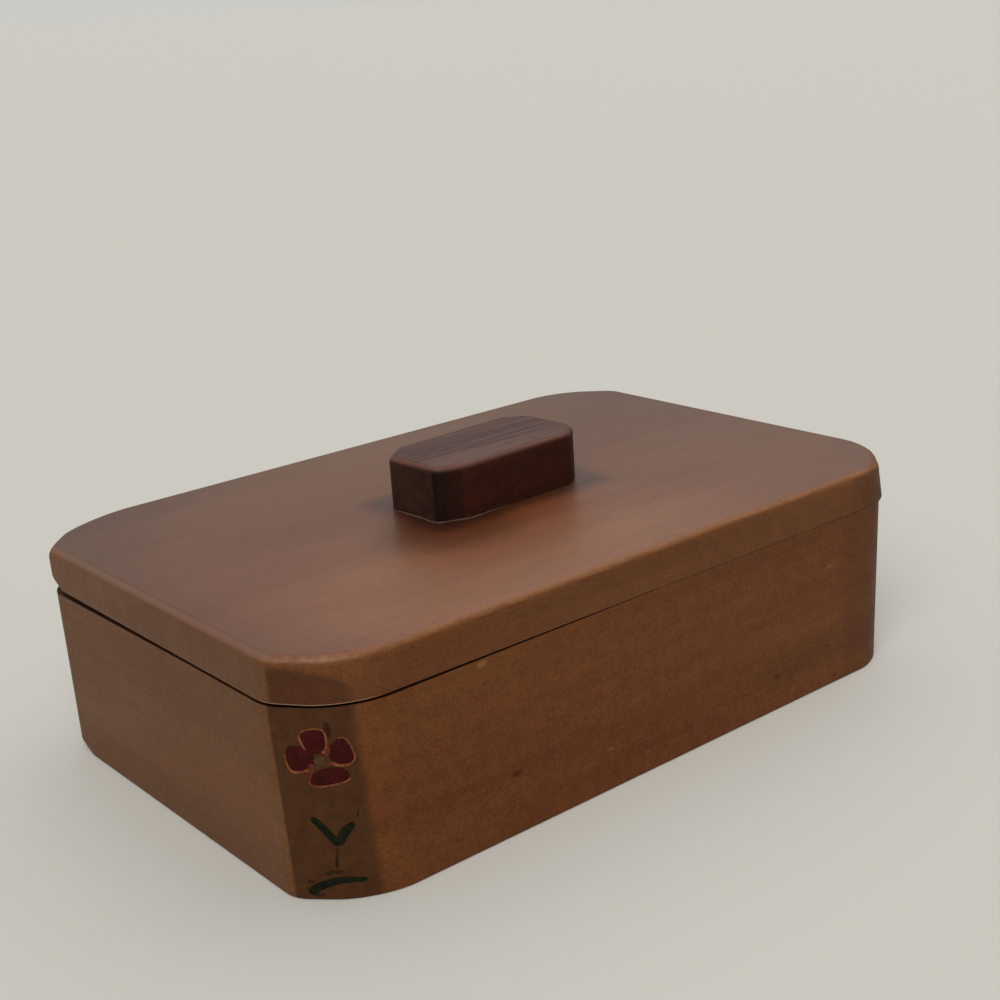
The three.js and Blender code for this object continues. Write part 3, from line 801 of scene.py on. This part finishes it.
def handle_marks(base, point, normal, broad, streak, even):
    """The handle's marks: a worn, streaky top with a painted highlight on its edge, greyer ends, end grain
    with a painted sheen, and darker corners, the right front one with painted shade.
    """
    top = normal[2].between(0.45, 0.85)
    worn = ((broad - 0.5) * 1.2 + (streak - 0.5) * 1.5 + (even - 0.5) * 0.8 + 0.5).between(0.15, 0.85)
    ends = normal[0].math("ABSOLUTE").between(0.88, 0.97)
    near = point[0].between(handle_middle.x, handle_middle.x - NEAR_HALF_SOFT)
    oblique = (normal[0] * normal[1]).between(0.28, 0.42) * near
    far = (normal[0] * normal[1]).between(-0.28, -0.42) * (1 - near)
    # Greyer ends: end grain, with a painted sheen.
    base = (ends * 0.75).mixed(base, HANDLE_END_BROWN)
    base = shaded(oblique, base, HANDLE_FACET_SHADE)
    # Painted shade on the right front facet.
    base = shaded(far, base, HANDLE_FAR_SHADE)
    base = shaded((even * 0.6 + broad * 0.4).between(0.55, 0.42) * (1 - top), base, HANDLE_BLOTCH)
    base = top.mixed(base, worn.mixed(*HANDLE_TOP_BROWNS))
    # A painted highlight along the handle's rounded upper edges.
    edge_highlight = normal[2].between(0.25, 0.60) * normal[2].between(0.98, 0.85) * (0.55 + (broad - 0.5) * 1.2)
    return edge_highlight.mixed(base, HANDLE_EDGE_BROWN)


dark_wood = wood("handle_wood", HANDLE_BROWNS, "X", 7.7, lacquer=(0.04, 0.16), marks=handle_marks)
finish_piece(handle, dark_wood, "dark_wood", "lid", "handle")


# Glue line: a thin bead of hide glue squeezed out along the handle's left end and near corner.
# It dried pale, and tapers out along the front.
BEAD_RADIUS = 0.2 * MM
BEAD_PATH = (
    ((-1, 0.55), 0.2), ((-1, 0.2), 0.8), ((-1, -0.3), 1.0), ((-1, -0.70), 0.9),
    ((-0.85, -0.86), 0.7), ((-0.69, -1), 1.0), ((-0.5, -1), 0.9), ((-0.3, -1), 0.5), ((-0.12, -1), 0.1),
)
bpy.ops.object.select_all(action="DESELECT")
bpy.ops.curve.primitive_bezier_curve_add()
bead = bpy.context.object
bead.name = bead.data.name = "glue_bead"
points = bead.data.splines[0].bezier_points
points.add(len(BEAD_PATH) - len(points))
swing = Matrix.Rotation(HANDLE_TURN, 3, "Z")
for point, ((across, along), radius) in zip(points, BEAD_PATH):
    corner = Vector((across * handle_half[0], along * handle_half[1], handle_low.z))
    point.co = swing @ corner + Vector((handle_middle.x, handle_middle.y, 0))
    point.handle_left_type = point.handle_right_type = "AUTO"
    point.radius = radius
bead.data.dimensions = "3D"
bead.data.bevel_depth = BEAD_RADIUS
bead.data.bevel_resolution = 3
bead.data.use_fill_caps = True
bpy.ops.object.convert(target="MESH")
bead = bpy.context.object
GLUE_BROWNS = (rgb(0.105, 0.062, 0.042), rgb(0.050, 0.028, 0.018), rgb(0.03, 0.016, 0.010))
finish_piece(bead, wood("dried_glue", GLUE_BROWNS, "X", 8.9), "lid_wood", "lid")


# Painted flower on the near corner: four crimson petals and a plum one behind them, with thin orange
# outlines, two green leaves, a stem and a stroke of ground. Each is a thin skin of paint on the facet.
PAINT_THICKNESS = 0.08 * MM
PAINT_LAYER = 0.01 * MM
PAINT_SLICE = 0.9 * MM
facet_foot = (Vector((-rim_half[0] + END_LEAN, -rim_half[1] + FOOT_FACET[1], 0)),
              Vector((-rim_half[0] + END_LEAN + FOOT_FACET[0], -rim_half[1], 0)))
facet_rim = (Vector((-rim_half[0], -rim_half[1] + RIM_FACET[1], rim_height)),
             Vector((-rim_half[0] + RIM_FACET[0], -rim_half[1], rim_height)))


def on_facet(across, up):
    """The point of the near facet at a distance from its left edge and a height."""
    share = up / rim_height
    left = facet_foot[0].lerp(facet_rim[0], share)
    right = facet_foot[1].lerp(facet_rim[1], share)
    return left + (right - left).normalized() * across


def paint(name, colours, seed):
    """Brush paint, thicker and thinner in streaks, with a low gloss."""
    material = bpy.data.materials.new(name)
    material.use_nodes = True
    start = Value(material.node_tree)
    place = start.node("TexCoord", output=3)
    moved = start.node("Mapping", None, {"Vector": place, "Location": (seed, seed, seed)})
    bristle = start.node("TexNoise", None, {"Vector": moved, "Scale": 2200.0, "Detail": 3.0})
    cover = start.node("TexNoise", None, {"Vector": moved, "Scale": 600.0, "Detail": 2.0})
    surface = material.node_tree.nodes["Principled BSDF"]
    tone = (cover * 0.6 + bristle * 0.4).between(0.38, 0.62)
    material.node_tree.links.new(tone.mixed(*colours).socket, surface.inputs["Base Color"])
    material.node_tree.links.new((0.55 + (bristle - 0.5) * 0.2).socket, surface.inputs["Roughness"])
    surface.inputs["Specular IOR Level"].default_value = 0.05
    bump = start.node("Bump", None, {"Strength": 0.3, "Distance": 0.00003, "Height": bristle})
    material.node_tree.links.new(bump.socket, surface.inputs["Normal"])
    return material


def brush_mark(name, outline, layer, material, slot):
    """One closed outline, in millimetres across and up the facet, as a skin of paint over lower layers."""
    lift = layer * PAINT_LAYER
    bpy.ops.object.select_all(action="DESELECT")
    bpy.ops.curve.primitive_bezier_circle_add()
    mark = bpy.context.object
    mark.name = mark.data.name = name
    mark.data.dimensions = "2D"
    mark.data.fill_mode = "BOTH"
    mark.data.resolution_u = 5
    points = mark.data.splines[0].bezier_points
    points.add(len(outline) - len(points))
    for point, (across, up) in zip(points, outline):
        point.co = (across * MM, up * MM, 0)
        point.handle_left_type = point.handle_right_type = "AUTO"
    bpy.ops.object.convert(target="MESH")
    mark = bpy.context.object
    edit(mark)
    for axis in (0, 1):
        low = min(point[axis] for point in outline) * MM
        high = max(point[axis] for point in outline) * MM
        for step in range(1, int((high - low) / PAINT_SLICE) + 1):
            line = [0, 0, 0]
            line[axis] = low + step * PAINT_SLICE
            bpy.ops.mesh.select_all(action="SELECT")
            bpy.ops.mesh.bisect(plane_co=line, plane_no=(1 - axis, axis, 0))
    edit()
    for vertex in mark.data.vertices:
        vertex.co = on_facet(vertex.co.x, vertex.co.y)
    wrap = mark.modifiers.new("wrap", "SHRINKWRAP")
    wrap.target = blank
    wrap.wrap_mode = "ABOVE_SURFACE"
    wrap.offset = lift + PAINT_THICKNESS * 0.75
    bpy.ops.object.modifier_apply(modifier=wrap.name)
    outward = (facet_foot[1] - facet_foot[0]).cross(Vector((0, 0, 1)))
    if sum(face.normal.dot(outward) for face in mark.data.polygons) < 0:
        edit(mark)
        bpy.ops.mesh.select_all(action="SELECT")
        bpy.ops.mesh.flip_normals()
        edit()
    skin = mark.modifiers.new("skin", "SOLIDIFY")
    skin.thickness = lift + PAINT_THICKNESS
    skin.offset = -1
    bpy.ops.object.modifier_apply(modifier=skin.name)
    finish_piece(mark, material, slot, "box")
    return mark


def stroke(points, widths):
    """The outline of a brush stroke along points, with its width at each."""
    left, right = [], []
    for index, (point, width) in enumerate(zip(points, widths)):
        before = Vector(points[max(index - 1, 0)])
        after = Vector(points[min(index + 1, len(points) - 1)])
        side = Vector((before.y - after.y, after.x - before.x)).normalized() * width / 2
        left.append(tuple(Vector(point) + side))
        right.append(tuple(Vector(point) - side))
    return left + right[::-1]


crimson = paint("crimson_paint", (rgb(0.043, 0.0044, 0.0042), rgb(0.024, 0.0034, 0.0032)), 1.1)
orange = paint("orange_paint", (rgb(0.200, 0.060, 0.026), rgb(0.105, 0.030, 0.014)), 2.3)
blush = paint("blush_paint", (rgb(0.100, 0.0270, 0.0130), rgb(0.062, 0.0170, 0.0085)), 6.1)
ochre = paint("ochre_paint", (rgb(0.078, 0.046, 0.016), rgb(0.058, 0.030, 0.011)), 3.7)
green = paint("green_paint", (rgb(0.0085, 0.0105, 0.0036), rgb(0.0040, 0.0050, 0.0028)), 4.9)
umber = paint("umber_paint", (rgb(0.030, 0.014, 0.006), rgb(0.016, 0.008, 0.004)), 5.3)
plum = paint("plum_paint", (rgb(0.033, 0.0110, 0.0070), rgb(0.024, 0.0062, 0.0050)), 9.2)
EGG_FLARE = 0.3
EGG_SQUARENESS = 0.75
EGG_POINTS = 14
RIM_POINTS = 9
RIM_PAST_PETAL = 0.2


def egg_point(egg, turn, past=0):
    """A point on the edge of a squarish egg that widens outwards, at a turn in degrees, or past the edge."""
    out = math.radians(egg["out"])
    turn = math.radians(turn) - out
    shares = (math.cos(turn), math.sin(turn))
    along, aside = (math.copysign(abs(share) ** EGG_SQUARENESS, share) for share in shares)
    along *= egg["length"] / 2 + past
    aside *= (egg["width"] / 2 + past) * (1 + EGG_FLARE * math.cos(turn))
    return tuple(Vector(egg["middle"]) + Matrix.Rotation(out, 2) @ Vector((along, aside)))


def rim_stroke(egg, first, last, widths):
    """The outline of a stroke round part of an egg, with its width at the start, halfway and at the end."""
    points, swelling = [], []
    for step in range(RIM_POINTS):
        share = step / (RIM_POINTS - 1)
        points.append(egg_point(egg, first + (last - first) * share, RIM_PAST_PETAL))
        half = 0 if share < 0.5 else 1
        swelling.append(widths[half] + (widths[half + 1] - widths[half]) * (2 * share - half))
    return stroke(points, swelling)


EGGS = {
    "petal_behind": {"middle": (10.5, 32.8), "length": 2.8, "width": 1.0, "out": 100, "paint": plum},
    "petal_left": {"middle": (5.1, 27.5), "length": 4.9, "width": 4.5, "out": 185, "paint": crimson},
    "petal_top": {"middle": (7.9, 30.6), "length": 4.4, "width": 4.0, "out": 99, "paint": crimson},
    "petal_right": {"middle": (12.2, 28.4), "length": 4.3, "width": 4.5, "out": 20, "paint": crimson},
    "petal_bottom": {"middle": (9.7, 24.2), "length": 3.0, "width": 6.8, "out": -82, "paint": crimson},
    "flower_heart": {"middle": (8.4, 27.1), "length": 2.0, "width": 1.5, "out": 0, "paint": ochre},
    "blush_above": {"middle": (9.9, 28.9), "length": 2.0, "width": 1.0, "out": 80, "paint": blush},
    "blush_below": {"middle": (10.2, 26.6), "length": 1.3, "width": 0.7, "out": 0, "paint": blush},
}
for layer, (name, egg) in enumerate(EGGS.items()):
    outline = [egg_point(egg, 360 * step / EGG_POINTS) for step in range(EGG_POINTS)]
    slot = "red_paint" if name.startswith("petal") else "orange_paint"
    brush_mark(name, outline, layer, egg["paint"], slot)
brush_mark(
    "blush_stroke", stroke(((7.0, 26.4), (6.5, 25.0), (5.9, 23.6)), (0.6, 0.8, 0.5)),
    len(EGGS), blush, "orange_paint",
)
OUTLINES = {
    "outline_left": ("petal_left", 172, 289, (0.15, 0.5, 0.3)),
    "outline_top_left": ("petal_top", 148, 212, (0.2, 0.4, 0.2)),
    "outline_top": ("petal_top", 131, -52, (0.15, 0.3, 0.4)),
    "outline_right": ("petal_right", 94, -131, (0.15, 0.4, 0.5)),
    "outline_bottom": ("petal_bottom", 198, 329, (0.2, 0.35, 0.15)),
}
for layer, (name, (petal, first, last, widths)) in enumerate(OUTLINES.items(), len(EGGS) + 1):
    brush_mark(name, rim_stroke(EGGS[petal], first, last, widths), layer, orange, "orange_paint")
STROKES = {
    "leaf_left": (
        ((5.3, 16.2), (6.4, 15.2), (7.5, 13.8), (8.5, 12.3), (9.4, 11.0)),
        (0.4, 1.2, 1.3, 1.3, 0.6),
    ),
    "leaf_right": (
        ((12.7, 14.9), (11.9, 14.3), (11.1, 13.6), (10.2, 12.5), (9.5, 11.0)),
        (0.6, 1.3, 1.6, 1.7, 0.7),
    ),
    "ground_stroke": (
        ((3.2, 1.6), (4.6, 2.6), (6.4, 3.4), (8.5, 4.0), (10.5, 4.1), (12.2, 3.9), (13.6, 3.8)),
        (0.9, 1.5, 1.3, 1.3, 1.1, 0.8, 0.3),
    ),
}
FAINT_STROKES = {
    "twig": (((14.0, 17.5), (13.8, 16.8), (13.5, 16.0)), (0.1, 0.25, 0.1)),
    "stem": (((9.0, 10.5), (9.0, 9.5), (8.7, 8.0), (8.5, 6.5)), (0.2, 0.25, 0.5, 0.2)),
    "root": (((6.2, 5.3), (7.5, 5.6), (9.4, 5.7)), (0.25, 0.45, 0.2)),
    "root_left": (((3.0, 3.8), (3.5, 3.8), (4.2, 3.7)), (0.1, 0.3, 0.1)),
    "ground_hook": (((4.0, 1.2), (5.0, 1.1), (5.7, 1.5)), (0.3, 0.4, 0.1)),
}
for strokes, colour, lowest in ((FAINT_STROKES, umber, 0), (STROKES, green, len(FAINT_STROKES))):
    for layer, (name, (points, widths)) in enumerate(strokes.items(), lowest):
        brush_mark(name, stroke(points, widths), layer, colour, "green_paint")
bpy.data.objects.remove(blank)
